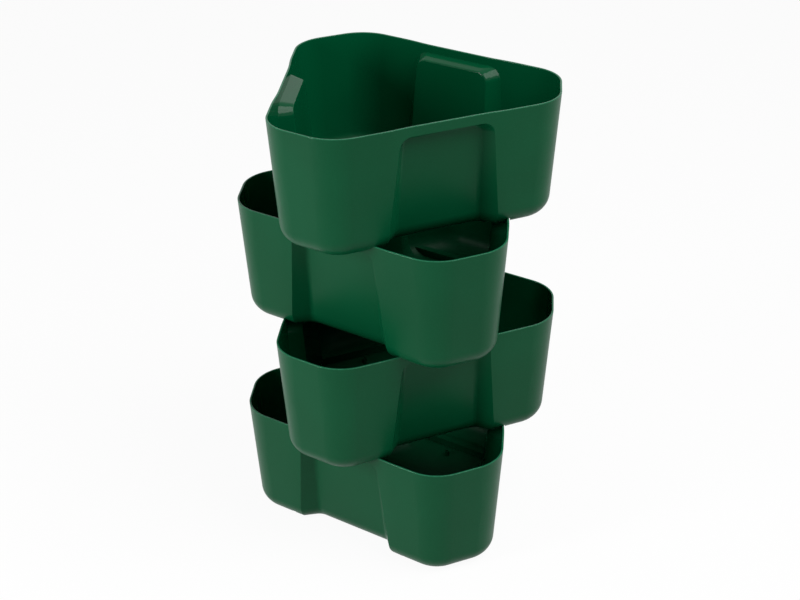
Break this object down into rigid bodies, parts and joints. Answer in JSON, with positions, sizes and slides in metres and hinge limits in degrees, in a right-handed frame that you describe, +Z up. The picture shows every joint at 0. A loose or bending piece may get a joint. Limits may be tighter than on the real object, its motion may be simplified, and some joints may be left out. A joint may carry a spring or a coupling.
{
  "type": "vertical planter tower",
  "caption": "Free-standing tower of stacked three-lobed planter bowls, each turned a sixth of a turn, with open planting pockets, side niches and drain collars.",
  "frame": {"origin": "centre of the stack's axis, on the surface the bottom bowl stands on", "axes": "+Z up the stack, -Y towards the front, where a lobe of the bottom bowl points"},
  "size_m": [0.3172, 0.336, 0.5045],
  "materials": {
    "bowl": "satin moulded dark green, glossier inside the niches' edges"
  },
  "bodies": {
    "bowl_1": {"bowl_1": "bowl"},
    "bowl_2": {"bowl_2": "bowl"},
    "bowl_3": {"bowl_3": "bowl"},
    "bowl_4": {"bowl_4": "bowl"}
  },
  "joints": [
    {"name": "lift_2", "type": "slide", "parent": "bowl_1", "child": "bowl_2", "axis": [0, 0, 1], "range_m": [0, 0.15]},
    {"name": "lift_3", "type": "slide", "parent": "bowl_2", "child": "bowl_3", "axis": [0, 0, 1], "range_m": [0, 0.15]},
    {"name": "lift_4", "type": "slide", "parent": "bowl_3", "child": "bowl_4", "axis": [0, 0, 1], "range_m": [0, 0.15]}
  ]
}
